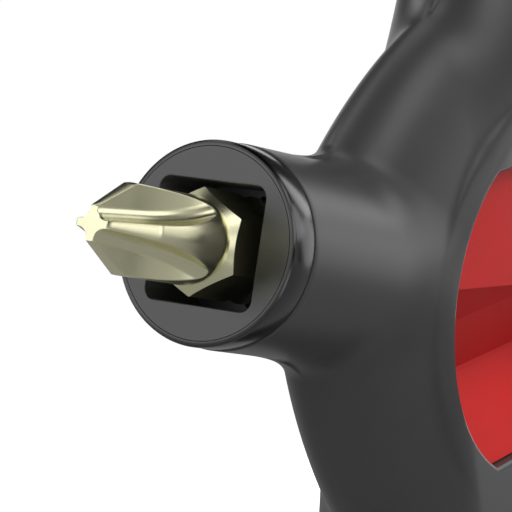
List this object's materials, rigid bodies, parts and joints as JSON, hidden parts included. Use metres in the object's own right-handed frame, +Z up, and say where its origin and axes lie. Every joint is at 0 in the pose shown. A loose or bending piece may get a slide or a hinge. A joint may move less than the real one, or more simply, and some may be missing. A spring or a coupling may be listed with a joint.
{
  "type": "cabinet key",
  "caption": "Cross-shaped cabinet key with a steel socket in each round arm, a sunk red hub cover and a cross-head bit that pulls out of its hexagon seat.",
  "frame": {"origin": "bottom centre of the bounding box, on the plane of the lower socket's face, which the key stands on", "axes": "+Z up along the upright arms, -X out of the arm that holds the bit, -Y out of the hub's front with its red cover"},
  "size_m": [0.0834, 0.015, 0.07],
  "materials": {
    "body_black": "black satin coat on a die-cast body",
    "cover_red": "satin moulded red plastic",
    "socket_steel": "blackened steel, glossy rim and satin face",
    "bit_nickel": "champagne nickel plating, satin",
    "magnet_nickel": "nickel plating",
    "pin_steel": "plain ground steel"
  },
  "bodies": {
    "key": {"key_body": "body_black", "hub_cover": "cover_red", "square_socket": "socket_steel", "triangle_socket": "socket_steel", "small_square_socket": "socket_steel", "double_bit_socket": "socket_steel", "bit_magnet": "magnet_nickel", "socket_pin_left": "pin_steel", "socket_pin_upper": "pin_steel", "socket_pin_right": "pin_steel", "socket_pin_lower": "pin_steel"},
    "bit": {"phillips_bit": "bit_nickel"}
  },
  "joints": [
    {"name": "bit_pull", "type": "slide", "parent": "key", "child": "bit", "axis": [-1, 0, 0], "range_m": [0, 0.02]}
  ]
}
